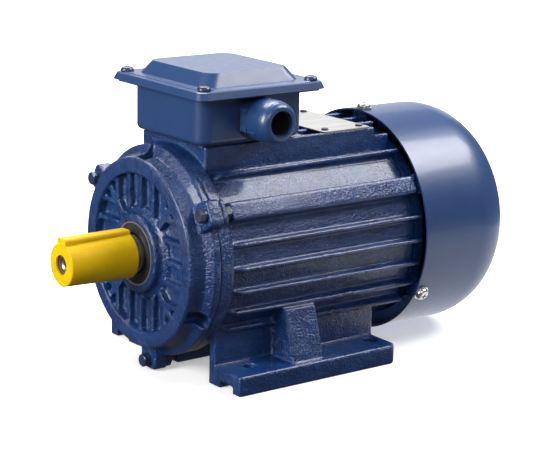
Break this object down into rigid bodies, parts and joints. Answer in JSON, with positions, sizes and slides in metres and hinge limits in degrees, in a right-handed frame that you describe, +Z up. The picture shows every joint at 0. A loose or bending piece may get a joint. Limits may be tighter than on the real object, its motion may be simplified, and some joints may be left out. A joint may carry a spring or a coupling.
{
  "type": "foot-mounted electric motor",
  "caption": "Finned cast electric motor on two feet, with terminal box and cable gland on top, fan cowl behind and a keyed shaft under a plastic cap.",
  "frame": {"origin": "centre of the four foot holes, in the plane of the feet", "axes": "+X along the shaft from the drive end to the fan end, -Y the side of the cable gland, +Z up"},
  "size_m": [0.323, 0.161, 0.1991],
  "materials": {
    "hammered_blue_paint": "glossy, slightly granular paint on rough cast metal",
    "smooth_blue_paint": "satin paint on smooth metal",
    "zinc_steel": "zinc-plated",
    "dark_steel": "dark, with paint on it",
    "bearing_steel": "ground and polished",
    "shaft_steel": "turned and ground",
    "core_steel": "stack of punched sheets",
    "cast_aluminium": "die cast",
    "plate_aluminium": "satin sheet",
    "enamelled_copper": "varnished winding",
    "slot_liner": "pressed board",
    "brass": "plain",
    "block_moulding": "moulded",
    "lead_sleeve": "smooth",
    "black_rubber": "matt",
    "seal_steel": "pressed",
    "fan_plastic": "moulded",
    "yellow_plastic": "smooth moulded"
  },
  "bodies": {
    "stator": {"frame": "hammered_blue_paint", "drive_end_shield": "hammered_blue_paint", "fan_end_shield": "hammered_blue_paint", "drive_end_bolts": "dark_steel", "drive_end_spring_washers": "dark_steel", "drive_end_nuts": "dark_steel", "fan_end_bolts": "zinc_steel", "fan_end_spring_washers": "zinc_steel", "stator_core": "core_steel", "stator_winding": "enamelled_copper", "slot_wedges": "slot_liner", "drive_bearing_outer_ring": "bearing_steel", "drive_bearing_seals": "black_rubber", "fan_bearing_outer_ring": "bearing_steel", "fan_bearing_seals": "black_rubber", "wave_spring": "bearing_steel", "drive_seal_case": "seal_steel", "drive_seal_lip": "black_rubber", "drive_seal_spring": "bearing_steel", "fan_cowl": "smooth_blue_paint", "cowl_screw_washers": "zinc_steel", "cowl_screws": "zinc_steel", "terminal_box": "smooth_blue_paint", "box_gasket": "black_rubber", "lid_gasket": "black_rubber", "box_screws": "zinc_steel", "earth_screw": "zinc_steel", "earth_washer": "zinc_steel", "terminal_block": "block_moulding", "terminal_studs": "brass", "lead_lugs": "brass", "shorting_links": "brass", "terminal_washers": "brass", "terminal_nuts": "brass", "block_screws": "zinc_steel", "motor_leads": "lead_sleeve", "gland_body": "smooth_blue_paint", "gland_nut": "smooth_blue_paint", "gland_seal": "black_rubber", "gland_washer": "black_rubber", "gland_locknut": "zinc_steel", "name_plate": "plate_aluminium", "name_plate_rivets": "dark_steel"},
    "rotor": {"shaft": "shaft_steel", "shaft_key": "shaft_steel", "fan_key": "shaft_steel", "rotor_core": "core_steel", "rotor_cage": "cast_aluminium", "drive_bearing_inner_ring": "bearing_steel", "fan_bearing_inner_ring": "bearing_steel", "fan_v_ring": "black_rubber", "cooling_fan": "fan_plastic", "fan_circlip": "bearing_steel"},
    "drive_ball_set": {"drive_bearing_balls": "bearing_steel", "drive_bearing_cage": "bearing_steel"},
    "fan_ball_set": {"fan_bearing_balls": "bearing_steel", "fan_bearing_cage": "bearing_steel"},
    "shaft_cap": {"shaft_cap": "yellow_plastic"},
    "lid": {"terminal_box_lid": "smooth_blue_paint", "lid_screws": "dark_steel"}
  },
  "joints": [
    {"name": "rotor_spin", "type": "hinge", "parent": "stator", "child": "rotor", "pos_m": [0, 0, 0.08], "axis": [1, 0, 0], "continuous": true},
    {"name": "drive_balls_spin", "type": "hinge", "parent": "stator", "child": "drive_ball_set", "pos_m": [-0.0835, 0, 0.08], "axis": [1, 0, 0], "continuous": true},
    {"name": "fan_balls_spin", "type": "hinge", "parent": "stator", "child": "fan_ball_set", "pos_m": [0.09, 0, 0.08], "axis": [1, 0, 0], "continuous": true},
    {"name": "cap_slide", "type": "slide", "parent": "rotor", "child": "shaft_cap", "axis": [-1, 0, 0], "range_m": [0, 0.06]},
    {"name": "lid_lift", "type": "slide", "parent": "stator", "child": "lid", "axis": [0, 0, 1], "range_m": [0, 0.06]}
  ],
  "couplings": [
    {"joint": "drive_balls_spin", "follows": "rotor_spin", "ratio": 0.3969},
    {"joint": "fan_balls_spin", "follows": "rotor_spin", "ratio": 0.3969}
  ]
}
